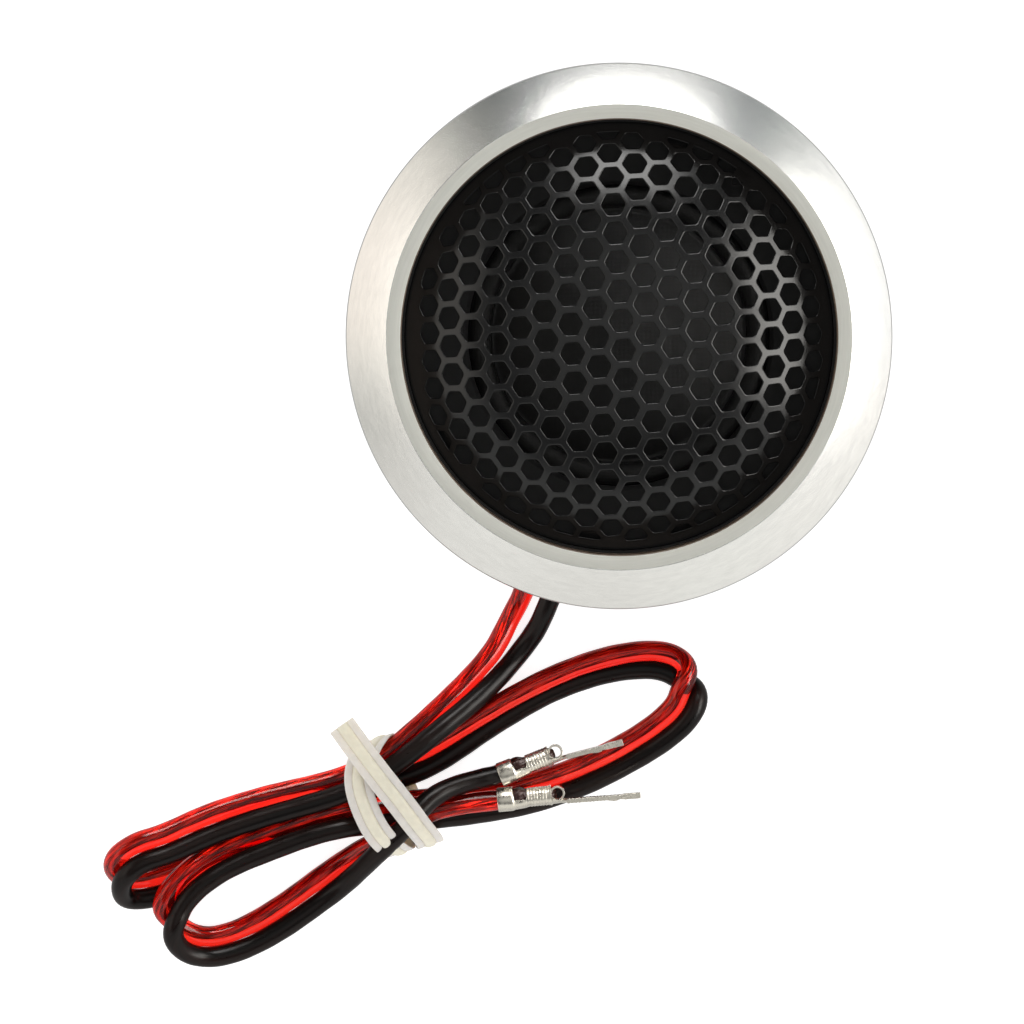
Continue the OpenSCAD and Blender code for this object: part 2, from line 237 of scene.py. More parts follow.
def lathe(name, profile, segments, mat, sharp=25):
    """A closed profile of (r, z) in mm turned about Z."""
    profile = np.array(profile, float)
    n = len(profile)
    vertices, faces = [], []
    for i in range(segments):
        a = 2 * math.pi * i / segments
        for r, z in profile:
            vertices.append((r * math.cos(a), r * math.sin(a), z))
    for i in range(segments):
        k = (i + 1) % segments
        for j in range(n):
            m = (j + 1) % n
            faces.append((i * n + j, k * n + j, k * n + m, i * n + m))
    obj = new_object(name, vertices, faces, mat)
    weld(obj)
    mark_sharp(obj, sharp)
    return obj


def weld(obj):
    """Joins points that fall together, such as those on the axis."""
    bm = bmesh.new()
    bm.from_mesh(obj.data)
    bmesh.ops.remove_doubles(bm, verts=bm.verts, dist=1e-7)
    bm.to_mesh(obj.data)
    bm.free()


def rounded(corners, radii, steps=4):
    """A closed outline with its corners rounded: each radius is the length cut from both sides."""
    out = []
    n = len(corners)
    for i, (p, r) in enumerate(zip(corners, radii)):
        p = np.array(p, float)
        if r == 0:
            out.append(p)
            continue
        before = unit(np.array(corners[i - 1], float) - p) * r
        after = unit(np.array(corners[(i + 1) % n], float) - p) * r
        for k in range(steps + 1):
            t = k / steps
            out.append((1 - t) ** 2 * (p + before) + 2 * t * (1 - t) * p + t * t * (p + after))
    return out


# ---------------------------------------------------------------- materials

def add_node(tree, kind, inputs=(), **props):
    """A shader node with its properties set, and its inputs set or linked."""
    made = tree.nodes.new("ShaderNode" + kind)
    for key, value in props.items():
        setattr(made, key, value)
    for key, value in dict(inputs).items():
        if isinstance(value, bpy.types.NodeSocket):
            tree.links.new(value, made.inputs[key])
        else:
            made.inputs[key].default_value = value
    return made


def set_stops(ramp, stops):
    """Fills a new colour ramp with (position, (r, g, b)) stops."""
    elements = ramp.color_ramp.elements
    while len(elements) < len(stops):
        elements.new(0.5)
    for element, (position, colour) in zip(elements, stops):
        element.position = position
        element.color = (*colour, 1)


class Shader:
    """A Principled material with a few helpers for its nodes."""

    def __init__(self, name, **sockets):
        self.mat = bpy.data.materials.new(name)
        self.mat.use_nodes = True
        self.tree = self.mat.node_tree
        self.bsdf = self.tree.nodes["Principled BSDF"]
        for key, value in sockets.items():
            self.bsdf.inputs[key.replace("_", " ")].default_value = value
        self.place = self.node("TexCoord").outputs["Object"]

    def node(self, kind, inputs=(), **props):
        """A node in this material."""
        return add_node(self.tree, kind, inputs, **props)

    def math(self, operation, a, b=0.0):
        """The result of one sum."""
        return self.node("Math", {0: a, 1: b}, operation=operation).outputs[0]

    def noise(self, scale, detail=3.0, vector=None, rough=0.5):
        """A noise in the object's own coordinates, or in the ones given."""
        return self.node("TexNoise", {
            "Vector": vector or self.place, "Scale": scale, "Detail": detail, "Roughness": rough,
        }).outputs["Fac"]

    def ramp(self, factor, stops):
        """A colour picked by a factor."""
        made = self.node("ValToRGB", {"Fac": factor})
        set_stops(made, stops)
        return made.outputs["Color"]

    def span(self, factor, low, high, to_low, to_high):
        """A value moved from one range to another."""
        return self.node("MapRange", {
            "Value": factor, "From Min": low, "From Max": high, "To Min": to_low, "To Max": to_high,
        }).outputs["Result"]

    def bump(self, height, distance, strength=1.0, after=None):
        """A normal bent by a height, on top of an earlier bump if one is given."""
        inputs = {"Height": height, "Distance": distance, "Strength": strength}
        if after is not None:
            inputs["Normal"] = after
        return self.node("Bump", inputs).outputs["Normal"]

    def link(self, socket, source):
        """Feeds one socket of the Principled shader."""
        self.tree.links.new(source, self.bsdf.inputs[socket])


def around(s, radial, turns):
    """Coordinates that run around Z, so a noise in them makes turned lines."""
    parts = s.node("SeparateXYZ", {0: s.place}).outputs
    flat = s.node("CombineXYZ", {0: parts[0], 1: parts[1]}).outputs[0]
    r = s.node("VectorMath", {0: flat}, operation="LENGTH").outputs["Value"]
    towards = s.node("VectorMath", {0: flat}, operation="NORMALIZE").outputs["Vector"]
    xy = s.node("SeparateXYZ", {0: towards}).outputs
    lines = s.math("MULTIPLY", s.math("ADD", r, parts[2]), radial)
    return s.node("CombineXYZ", {
        0: lines, 1: s.math("MULTIPLY", xy[0], turns), 2: s.math("MULTIPLY", xy[1], turns),
    }).outputs[0]


def ring_material():
    """Turned aluminium: fine lines around the axis over a light grain."""
    s = Shader("turned_aluminium", Metallic=1.0, Anisotropic=0.3)
    lines = s.noise(1.0, 5.0, around(s, 9000.0, 14.0), 0.65)
    grain = s.noise(8000.0, 2.0, rough=0.75)
    s.link("Base Color", s.ramp(lines, [(0.3, (0.86, 0.86, 0.845)), (0.7, (0.94, 0.94, 0.925))]))
    s.link("Roughness", s.span(grain, 0.3, 0.7, 0.17, 0.28))
    turned = s.bump(lines, 0.000004, 0.6)
    s.link("Normal", s.bump(grain, 0.000014, 0.6, turned))
    s.link("Tangent", s.node("Tangent", direction_type="RADIAL", axis="Z").outputs[0])
    return s.mat


def band_material():
    """The ring's flat faced band, duller than the bevel."""
    s = Shader("faced_aluminium", Metallic=1.0)
    lines = s.noise(1.0, 3.0, around(s, 5000.0, 6.0), 0.6)
    s.link("Base Color", s.ramp(lines, [(0.3, (0.83, 0.83, 0.775)), (0.7, (0.89, 0.89, 0.835))]))
    s.link("Roughness", s.span(s.noise(7000.0), 0.3, 0.7, 0.36, 0.46))
    s.link("Normal", s.bump(lines, 0.000004, 0.5))
    return s.mat


def plain_material(name, colour, spread, rough, bump_mm, scale, metallic=0.0, **more):
    """Fine mottling, uneven gloss and a small bump at one scale."""
    s = Shader(name, Metallic=metallic, **more)
    fine = s.noise(scale, 4.0, rough=0.6)
    broad = s.noise(scale * 0.06, 2.0)
    mixed = s.math("ADD", s.math("MULTIPLY", fine, 0.5), s.math("MULTIPLY", broad, 0.5))
    low = tuple(max(0.0, c * (1 - spread)) for c in colour)
    high = tuple(min(1.0, c * (1 + spread)) for c in colour)
    s.link("Base Color", s.ramp(mixed, [(0.3, low), (0.7, high)]))
    s.link("Roughness", s.span(fine, 0.3, 0.7, rough[0], rough[1]))
    s.link("Normal", s.bump(fine, bump_mm * MM, 0.6))
    return s.mat


def weave_material(name, colour, pitch_mm, rough, gloss):
    """Over-and-under threads along X and Y, with painted glints on their peaks."""
    s = Shader(name, Roughness=rough, Sheen_Weight=0.04, Sheen_Roughness=0.4, Specular_IOR_Level=gloss)
    scale = 2 * math.pi / (pitch_mm * MM)
    parts = s.node("SeparateXYZ", {0: s.place}).outputs
    warp = s.math("SINE", s.math("MULTIPLY", parts[0], scale))
    weft = s.math("SINE", s.math("MULTIPLY", parts[1], scale))
    over = s.math("MULTIPLY", warp, weft)
    height = s.math("ADD", s.math("MULTIPLY", s.math("ABSOLUTE", over), 0.6),
                    s.math("MULTIPLY", s.noise(30000.0, 2.0), 0.4))
    # The top of the ramp, seven times the colour on the weave's peaks, is a painted glint.
    s.link("Base Color", s.ramp(height, [(0.2, tuple(c * 0.4 for c in colour)), (0.7, colour),
                                          (0.85, tuple(c * 7 for c in colour))]))
    s.link("Normal", s.bump(height, 0.00003, 1.0))
    return s.mat


def streaks(s, along, sideways, detail=3.0):
    """A noise drawn out along a tube, from its UVs."""
    uv = s.node("SeparateXYZ", {0: s.node("UVMap", uv_map="along").outputs[0]}).outputs
    turn = s.math("MULTIPLY", uv[1], 2 * math.pi)
    place = s.node("CombineXYZ", {
        0: s.math("MULTIPLY", uv[0], along),
        1: s.math("MULTIPLY", s.math("COSINE", turn), sideways),
        2: s.math("MULTIPLY", s.math("SINE", turn), sideways),
    }).outputs[0]
    return s.noise(1.0, detail, place, 0.55)


def lead_material(name, low, high, rough, transmission, gloss, waves_mm):
    """Clear-coloured insulation with long drawn flow lines."""
    s = Shader(name, IOR=1.4, Transmission_Weight=transmission, Specular_IOR_Level=gloss)
    flow = streaks(s, 0.06, 1.1, 2.0)
    s.link("Base Color", s.ramp(flow, [(0.36, low), (0.62, high)]))
    s.link("Roughness", s.span(streaks(s, 0.5, 2.0), 0.3, 0.7, rough[0], rough[1]))
    s.link("Normal", s.bump(streaks(s, 0.12, 1.3, 1.0), waves_mm * MM, 0.4))
    return s.mat


def core_material(name, dark, bright):
    """Stranded copper: the twist comes from the mesh, single strands and tarnish from noise."""
    s = Shader(name, Metallic=1.0)
    strand = streaks(s, 0.3, 3.2, 3.0)
    s.link("Base Color", s.ramp(strand, [(0.38, dark), (0.6, bright)]))
    s.link("Roughness", s.span(strand, 0.3, 0.7, 0.2, 0.38))
    s.link("Normal", s.bump(strand, 0.00006, 0.5))
    return s.mat


# Brown painted shade for the tie's grooves and outer edges.
GROOVE_SHADE = (0.36, 0.28, 0.20, 1)


def tie_material(name, colour, translucency):
    """Waxy plastic, with brown painted shade in the grooves and along the edges."""
    s = Shader(name, Subsurface_Weight=translucency, Subsurface_Scale=0.0012,
               Subsurface_Radius=(1.0, 0.8, 0.55), Specular_IOR_Level=0.4)
    streak = s.noise(1500.0, 4.0)
    low = tuple(c * 0.92 for c in colour)
    unshaded_tone = s.ramp(streak, [(0.3, low), (0.7, colour)])
    # Painted shade: points marked in the grooves and along the edges are mixed unevenly towards brown.
    groove_edge_shade = s.node("Attribute", attribute_name="groove_edge_shade").outputs["Fac"]
    shade_amount = s.math("MULTIPLY", groove_edge_shade, s.span(s.noise(900.0, 3.0), 0.3, 0.7, 0.15, 0.5))
    shade_painted = s.node("MixRGB", {"Fac": shade_amount, "Color1": unshaded_tone, "Color2": GROOVE_SHADE})
    s.link("Base Color", shade_painted.outputs[0])
    s.link("Roughness", s.span(streak, 0.3, 0.7, 0.36, 0.5))
    s.link("Normal", s.bump(streak, 0.00004, 0.5))
    return s.mat


# A plain material is given as: name, colour, spread of the colour, roughness from-to, bump in mm,
# scale, and metallic where it isn't 0.
MATS = {
    "ring": ring_material(),
    "band": band_material(),
    "edge": plain_material("ring_edge", (0.66, 0.66, 0.65), 0.08, (0.3, 0.4), 0.004, 4000.0, 1.0),
    # The bore's dark brown is painted shade on the opening's inner wall.
    "bore_shade": plain_material("ring_bore_shade", (0.12, 0.085, 0.06), 0.2, (0.4, 0.5), 0.004, 3000.0, 0.3),
    "grille": plain_material("grille_paint", (0.009, 0.009, 0.0092), 0.15, (0.18, 0.25), 0.004, 5200.0,
                             Specular_IOR_Level=0.42),
    "plastic": plain_material("body_plastic", (0.0055, 0.0055, 0.0058), 0.3, (0.45, 0.6), 0.02, 3600.0,
                              Specular_IOR_Level=0.25),
    "foam": plain_material("foam_dark", (0.010, 0.010, 0.0105), 0.5, (0.85, 1.0), 0.12, 2600.0,
                           Specular_IOR_Level=0.2),
    "felt": plain_material("felt_grey", (0.16, 0.16, 0.165), 0.4, (0.85, 1.0), 0.08, 4000.0),
    "dome": weave_material("dome_silk", (0.0032, 0.0032, 0.0034), pitch_mm=0.26, rough=0.3, gloss=0.34),
    "surround": weave_material("surround_silk", (0.0035, 0.0035, 0.0035), pitch_mm=0.3, rough=0.5,
                               gloss=0.25),
    "foil": plain_material("former_foil", (0.75, 0.75, 0.77), 0.06, (0.2, 0.32), 0.004, 3000.0, 1.0),
    "copper": plain_material("copper_wire", (0.66, 0.32, 0.18), 0.25, (0.25, 0.4), 0.02, 3000.0, 1.0),
    "zinc": plain_material("zinc_steel", (0.62, 0.63, 0.64), 0.12, (0.28, 0.42), 0.008, 1500.0, 1.0),
    "magnet": plain_material("magnet_nickel", (0.55, 0.54, 0.51), 0.1, (0.22, 0.34), 0.004, 2200.0, 1.0),
    "screw": plain_material("screw_steel", (0.60, 0.60, 0.58), 0.14, (0.25, 0.4), 0.01, 2600.0, 1.0),
    "board": plain_material("board_phenolic", (0.30, 0.16, 0.07), 0.25, (0.4, 0.6), 0.02, 1800.0),
    "tin": plain_material("tin_plate", (0.74, 0.70, 0.62), 0.26, (0.2, 0.38), 0.03, 2300.0, 1.0),
    "solder": plain_material("solder", (0.74, 0.74, 0.72), 0.1, (0.15, 0.3), 0.03, 1800.0, 1.0),
    "sleeve": plain_material("capacitor_sleeve", (0.02, 0.035, 0.12), 0.2, (0.18, 0.3), 0.008, 1800.0),
    "rubber": plain_material("grommet_rubber", (0.02, 0.02, 0.02), 0.25, (0.55, 0.75), 0.02, 3200.0),
    "red_pvc": lead_material("red_pvc", (0.93, 0.012, 0.008), (1.0, 0.04, 0.022), (0.04, 0.09),
                             transmission=0.95, gloss=0.4, waves_mm=0.05),
    "black_pvc": lead_material("black_pvc", (0.005, 0.003, 0.0026), (0.016, 0.007, 0.0055), (0.27, 0.33),
                               transmission=0.5, gloss=0.15, waves_mm=0.006),
    "red_core": core_material("red_core_copper", (0.22, 0.08, 0.05), (0.85, 0.5, 0.35)),
    "black_core": core_material("black_core_copper", (0.10, 0.05, 0.035), (0.5, 0.3, 0.2)),
    "wire_end": plain_material("wire_end", (0.032, 0.009, 0.006), 0.7, (0.2, 0.4), 0.06, 2600.0, 0.2),
    "tie_wing": tie_material("tie_wing", (0.76, 0.71, 0.66), translucency=0.3),
    "tie_core": tie_material("tie_core", (0.82, 0.77, 0.635), translucency=0.15),
}


# ---------------------------------------------------------------- leads

# In mm. The copper core lies off the tube's middle and turns once in TWIST.
LEAD_R, LEAD_SIDES = 1.05, 28
CORE_R, CORE_OFF, CORE_SIDES = 0.58, 0.36, 42
CORE_LOBES = 7
TWIST = 26.0
# The crimp squeezes the insulation over the last stretch, and fades out over a short length.
CRIMP_DEPTH, CRIMP_LENGTH, CRIMP_FADE = 0.10, 2.2, 1.2


def lead(name, line, outward, mat, core_mat, node, phase):
    """A clear tube round a twisted copper core that lies off its middle, away from the other lead."""
    _, across, up = frames(line, SIDE)
    distance = np.concatenate([[0], np.cumsum(np.linalg.norm(np.diff(line, axis=0), axis=1))])
    to_end = distance[-1] - distance
    # The tube's diameter isn't quite even.
    wobble = 0.012 * np.sin(distance * 0.9 + phase) + 0.008 * np.sin(distance * 2.3 + 2 * phase)
    crimped = CRIMP_DEPTH * np.clip(1 - (to_end - CRIMP_LENGTH) / CRIMP_FADE, 0, 1)
    radius = LEAD_R + wobble - crimped
    shape = round_section(1.0, LEAD_SIDES)
    vertices, faces = sweep(line, across, up, lambda i: shape * radius[i])
    tube = new_object(name, vertices, faces, mat)
    tube_uv(tube, distance, LEAD_SIDES)
    mark_sharp(tube, 60)
    finish_piece(tube, [node])

    around_core = np.linspace(0, 2 * math.pi, CORE_SIDES, endpoint=False)

    def strands(i):
        turn = distance[i] * 2 * math.pi / TWIST + phase
        r = CORE_R * (0.93 + 0.16 * np.abs(np.sin(CORE_LOBES / 2 * (around_core + turn))))
        return np.column_stack([r * np.cos(around_core), r * np.sin(around_core)])

    vertices, faces = sweep(line + CORE_OFF * outward, across, up, strands)
    core = new_object(name + "_core", vertices, faces, core_mat)
    tube_uv(core, distance, CORE_SIDES)
    finish_piece(core)
    length = float(distance[-1]) * MM
    path = [tuple(MM * c for c in p) for p in line]
    return tube, path, length


LINE_STEPS = 12
RED_LINE, BLACK_LINE, APART = lead_lines(LINE_STEPS)
red_tube, red_path, red_length = lead(
    "red_insulation", RED_LINE, APART, MATS["red_pvc"], MATS["red_core"], "red_lead", 0.0)
black_tube, black_path, black_length = lead(
    "black_insulation", BLACK_LINE, -APART, MATS["black_pvc"], MATS["black_core"], "black_lead",
    1.3)


# ---------------------------------------------------------------- pins

def box_loft(sections):
    """A bar through sections given as (x, y0, y1, z0, z1)."""
    vertices = []
    for x, y0, y1, z0, z1 in sections:
        vertices += [(x, y0, z0), (x, y1, z0), (x, y1, z1), (x, y0, z1)]
    faces = [(3, 2, 1, 0)]
    for i in range(len(sections) - 1):
        for j in range(4):
            a, b = 4 * i + j, 4 * i + (j + 1) % 4
            faces.append((a, b, b + 4, a + 4))
    k = 4 * (len(sections) - 1)
    faces.append((k, k + 1, k + 2, k + 3))
    return vertices, faces


def joined(parts):
    """Several (vertices, faces) as one."""
    vertices, faces = [], []
    for v, f in parts:
        k = len(vertices)
        vertices += [tuple(p) for p in v]
        faces += [tuple(i + k for i in face) for face in f]
    return vertices, faces


def rotate_z(vertices, degrees, about):
    """Points turned in the XY plane about a point."""
    a = math.radians(degrees)
    out = []
    for x, y, z in vertices:
        dx, dy = x - about[0], y - about[1]
        out.append((about[0] + dx * math.cos(a) - dy * math.sin(a),
                    about[1] + dx * math.sin(a) + dy * math.cos(a), z))
    return out


def ring_loop(x, y, r, thick, z0, z1, steps=28):
    """A short tube that stands along Z."""
    vertices, faces = [], []
    for i in range(steps):
        a = 2 * math.pi * i / steps
        for rad, z in ((r, z0), (r, z1), (r - thick, z1), (r - thick, z0)):
            vertices.append((x + rad * math.cos(a), y + rad * math.sin(a), z))
    for i in range(steps):
        k = (i + 1) % steps
        for j in range(4):
            m = (j + 1) % 4
            faces.append((4 * i + j, 4 * k + j, 4 * k + m, 4 * i + m))
    return vertices, faces


# Along the pin in mm: x, outer radius, half angle of the sheet about its strip side.
PIN_SHELL = [
    (0.0, 1.22, 166), (0.08, 1.25, 167), (1.45, 1.25, 167), (1.56, 1.22, 165),
    (1.62, 1.19, 120), (1.72, 1.16, 84), (2.85, 1.06, 80), (2.98, 1.02, 96), (3.04, 1.0, 160),
] + [
    (3.1 + 0.05 * k, 0.985 + 0.022 * math.cos(2 * math.pi * k / 6), 164) for k in range(44)
] + [
    (5.36, 1.04, 165), (5.46, 1.06, 162), (5.5, 0.98, 110), (5.58, 0.93, 66), (6.3, 0.90, 52),
    (7.0, 0.93, 44), (7.35, 0.94, 36),
]
SHELL_T = 0.16
SHELL_STEPS = 29


def pin_shell():
    """One stamped sheet: insulation barrel, open channel, wire crimp and the neck of the blade."""
    rows = np.array(PIN_SHELL)

    def section(i):
        _, radius, half = rows[i]
        a = np.radians(np.linspace(-90 - half, -90 + half, SHELL_STEPS))
        arc = np.column_stack([np.sin(a), np.cos(a)])
        return np.vstack([arc * radius, arc[::-1] * (radius - SHELL_T)])

    line = np.column_stack([rows[:, 0], np.zeros(len(rows)), np.zeros(len(rows))])
    ones = np.ones((len(rows), 1))
    vertices, faces = sweep(line, ones * (0, 1, 0), ones * (0, 0, 1), section, caps=False)
    n = 2 * SHELL_STEPS
    last = (len(rows) - 1) * n
    for j in range(SHELL_STEPS - 1):
        faces.append((j, j + 1, n - 2 - j, n - 1 - j))
        faces.append((last + j + 1, last + j, last + n - 1 - j, last + n - 2 - j))
    return vertices, faces


def wire_bundle(phase):
    """The end of the wire in the open channel, and the strand tips beyond the crimp."""
    # Along the pin: x, radius, rise off the pin's middle.
    rows = [(1.4, 0.95, 0.0), (1.75, 1.0, 0.05), (2.2, 0.98, 0.12), (2.6, 0.86, 0.10),
            (3.0, 0.76, 0.0), (5.3, 0.72, 0.0), (5.6, 0.66, 0.05), (5.85, 0.5, 0.08), (6.0, 0.3, 0.1)]
    rows = spline(rows, 4)
    angle = np.linspace(0, 2 * math.pi, 5 * CORE_LOBES, endpoint=False)

    def section(i):
        x, radius, rise = rows[i]
        lobes = 0.92 + 0.14 * np.abs(np.sin(CORE_LOBES / 2 * angle + 1.1 * x + phase))
        lump = 1 + 0.05 * np.sin(3.1 * x + 2 * angle + phase)
        return np.column_stack([rise + radius * lobes * lump * np.cos(angle),
                                radius * lobes * lump * np.sin(angle)])

    line = np.column_stack([rows[:, 0], np.zeros(len(rows)), np.zeros(len(rows))])
    ones = np.ones((len(rows), 1))
    return sweep(line, ones * (0, 1, 0), ones * (0, 0, 1), section)


def place_pin(vertices, place):
    """Points along a level pin moved to where the pin lies."""
    x, y, z, heading, rise = place[:5]
    a, b = math.radians(heading), math.radians(rise)
    out = []
    for u, v, w in vertices:
        u, w = u * math.cos(b) - w * math.sin(b), u * math.sin(b) + w * math.cos(b)
        out.append((x + u * math.cos(a) - v * math.sin(a), y + u * math.sin(a) + v * math.cos(a), z + w))
    return out


# The blade in mm: its start, two faces, half width, tip, step between sections, and ripple's height.
BLADE_X = 7.0
BLADE_LOW, BLADE_HIGH = -0.95, -0.52
BLADE_HALF = 0.72
BLADE_TIP = 2.0
BLADE_STEP = 0.12
RIPPLE = 0.04


def pin(name, place, node, serrated):
    """A crimped pin: shell, stop ring, flat blade with a locking tongue, and the wire's end."""
    bend, blade = place[5:]
    stop = BLADE_X + blade - BLADE_TIP
    sections = [(BLADE_X, BLADE_LOW, BLADE_HIGH, -0.7, 0.7)]
    first = BLADE_X + 0.2
    for k in range(int((stop - first) / BLADE_STEP)):
        ripple = RIPPLE if serrated and k % 3 == 0 else 0.0
        sections.append((first + BLADE_STEP * k, BLADE_LOW - ripple, BLADE_HIGH + ripple,
                         -BLADE_HALF, BLADE_HALF))
    sections += [
        (stop, BLADE_LOW, BLADE_HIGH, -BLADE_HALF, BLADE_HALF), (stop + 0.25, -0.98, -0.49, -0.7, 0.7),
        (stop + 0.5, -1.02, -0.44, -0.62, 0.62), (stop + 2.08, -1.02, -0.44, -0.6, 0.6),
    ]
    tongue = [
        (stop - 1.6, -0.96, -0.86, -0.2, 0.25), (stop - 0.6, -1.12, -0.98, -0.2, 0.25),
        (stop - 0.2, -1.08, -0.9, -0.2, 0.25),
    ]
    parts = [pin_shell(), ring_loop(6.1, 0.14, 0.76, 0.19, -0.6, 0.6)]
    for bar in (sections, tongue):
        vertices, faces = box_loft(bar)
        parts.append((rotate_z(vertices, -bend, (BLADE_X, BLADE_LOW)), faces))
    vertices, faces = joined(parts)
    obj = new_object(name, place_pin(vertices, place), faces, MATS["tin"])
    bevel = obj.modifiers.new("edges", "BEVEL")
    bevel.width = 0.03 * MM
    bevel.segments = 2
    bevel.limit_method = "ANGLE"
    bevel.angle_limit = math.radians(35)
    mark_sharp(obj, 40)
    finish_piece(obj, [node])
    vertices, faces = wire_bundle(place[3])
    wire = new_object(name + "_wire", place_pin(vertices, place), faces, MATS["wire_end"])
    finish_piece(wire)
    return obj


# Each pin: x, y, z in mm, heading, rise and bend of the blade in degrees, length of the blade in mm.
BLACK_PIN = (-12.0, -44.9, 3.85, 21.5, 2, 7, 5.8)
RED_PIN = (-12.2, -47.45, 3.85, 5.5, 2, 1, 7.4)
red_pin = pin("red_pin", RED_PIN, "red_pin_terminal", True)
black_pin = pin("black_pin", BLACK_PIN, "black_pin_terminal", False)


# ---------------------------------------------------------------- twist tie

# Half of the tie's upper outline in mm: a thin wing, a groove and the raised core.
TIE_OUTLINE = [
    (-1.4, 0.03), (-1.36, 0.09), (-1.27, 0.135), (-1.05, 0.155), (-0.82, 0.15), (-0.68, 0.12),
    (-0.60, 0.07), (-0.55, 0.12), (-0.48, 0.22), (-0.34, 0.29), (-0.12, 0.32),
]
TIE_GROOVE = 0.6
TIE_EDGE = 1.38


def twist_tie():
    """The flat tie: wings on both sides of a lighter core, with painted shade in the grooves and along the
    edges.
    """
    line = spline(TIE, 8)
    _, across, up = frames(line, ALONG)
    top = TIE_OUTLINE + [(-x, z) for x, z in reversed(TIE_OUTLINE)]
    bottom = [(x, -z * 0.8) for x, z in reversed(top)]
    section = np.array(top + bottom)
    vertices, faces = sweep(line, across, up, lambda i: section)
    obj = new_object("tie", vertices, faces, MATS["tie_wing"])
    obj.data.materials.append(MATS["tie_core"])
    # The grooves and the outer edges, past TIE_EDGE, are marked for painted shade.
    side = np.abs(section[:, 0])
    shade_painted = (np.abs(side - TIE_GROOVE) < 0.03) | (side > TIE_EDGE)
    groove_edge_shade = obj.data.attributes.new("groove_edge_shade", "FLOAT", "POINT")
    groove_edge_shade.data.foreach_set("value", np.tile(shade_painted.astype(float), len(line)))
    n = len(section)
    in_core = side < TIE_GROOVE + 0.02
    for k, face in enumerate(obj.data.polygons):
        j = k % n
        if k < (len(line) - 1) * n and in_core[j] and in_core[(j + 1) % n]:
            face.material_index = 1
    mark_sharp(obj, 75)
    return finish_piece(obj, ["twist_tie"])


tie = twist_tie()


# ---------------------------------------------------------------- trim ring

# Radii in mm where the material changes: bore (painted shade), flat band, bevel, outer edge.
BORE_R, BAND_R, BEVEL_R = 21.95, 23.36, 27.34


def trim_ring():
    """The ring as one turned piece: bore, flat band, bevel, edge and underside."""
    corners = [(21.85, 13.2), (26.2, 13.2), (26.2, 12.5), (27.5, 12.5), (27.5, 13.3),
               (23.4, 16.2), (21.85, 16.2)]
    outline = rounded(corners, [0, 0, 0, 0.08, 0.25, 0.05, 0.12])
    obj = lathe("ring", outline, 288, MATS["ring"], sharp=12)
    for key in ("band", "bore_shade", "edge"):
        obj.data.materials.append(MATS[key])
    for face in obj.data.polygons:
        r = math.hypot(face.center.x, face.center.y) / MM
        if r < BORE_R:
            face.material_index = 2
        elif r < BAND_R:
            face.material_index = 1
        elif r > BEVEL_R:
            face.material_index = 3
    return finish_piece(obj, ["trim_ring"])


trim_ring()


# ---------------------------------------------------------------- grille

# In mm and degrees, as in the CAD: the punched pattern, how the press draws it in, and the dome.
HEX_PITCH, HEX_FLATS = 2.95, 2.2
HEX_TURN, HEX_SHIFT, HEX_ROWS = 4.0, 0.3, 9
DRAW_IN, DRAW_POWER = 0.063, 3.6
RIM_IN, RIM_OUT, SEAT, SHEET = 20.9, 21.55, 12.3, 0.6
RISE, DOME_POWER = 5.7, 2.8
RIM_STEPS = 240
# No hole reaches past HOLES_R, and a hole's middle may lie this far outside it.
HOLES_R, HOLE_OUTSIDE = 20.55, 0.2
# Only the scene rounds the holes. A corner is rounded over HEX_CORNER from its tip, and the edge in
# steps: how far the outline grows, and how deep that is below the outer surface.
HEX_CORNER = 0.21
HOLE_EDGE = [(0.13, 0.0), (0.09, 0.008), (0.045, 0.032), (0.014, 0.07), (0.0, 0.12), (0.0, 0.54),
             (0.04, SHEET)]


def grille_z(r):
    """Height of the grille's outer surface."""
    return SEAT + SHEET + RISE * (1 - np.minimum(r / RIM_IN, 1.0) ** DOME_POWER)


def drawn(x, y):
    """Where a point of the flat punched sheet comes to lie once the dome is pressed."""
    f = 1 - DRAW_IN * (math.hypot(x, y) / RIM_IN) ** DRAW_POWER
    return x * f, y * f


def turned(x, y):
    """A point turned with the pattern of holes."""
    a = math.radians(HEX_TURN)
    return x * math.cos(a) - y * math.sin(a), x * math.sin(a) + y * math.cos(a)


def hex_loop(centre, flats, limit, per_side=4):
    """A hexagon with small round corners, pushed inside a limiting circle."""
    radius = flats / 2 / math.cos(math.radians(30))
    corners = [np.array([math.cos(math.radians(60 * k)), math.sin(math.radians(60 * k))]) * radius
               for k in range(6)]
    points = []
    for k in range(6):
        before, p, q = corners[k - 1], corners[k], corners[(k + 1) % 6]
        a, b = p + unit(before - p) * HEX_CORNER, p + unit(q - p) * HEX_CORNER
        for t in (0.0, 0.5, 1.0):
            points.append((1 - t) ** 2 * a + 2 * t * (1 - t) * p + t * t * b)
        stop = q + unit(p - q) * HEX_CORNER
        for j in range(1, per_side):
            points.append(b + (stop - b) * j / per_side)
    out = []
    for point in points:
        x, y = turned(*point)
        x, y = drawn(centre[0] + x, centre[1] + y)
        pushed = min(1.0, limit / math.hypot(x, y))
        out.append((x * pushed, y * pushed))
    return out


def hole_centres():
    """Middles of the hexagons on the flat sheet."""
    column = HEX_PITCH * math.sqrt(3) / 2
    out = []
    for c in range(-HEX_ROWS, HEX_ROWS + 1):
        for k in range(-HEX_ROWS, HEX_ROWS + 1):
            x, y = turned(c * column, (k + (0.5 if c % 2 == 0 else 0.0)) * HEX_PITCH)
            x, y = x + HEX_SHIFT, y + HEX_SHIFT
            if math.hypot(*drawn(x, y)) < HOLES_R + HOLE_OUTSIDE:
                out.append((x, y))
    return out


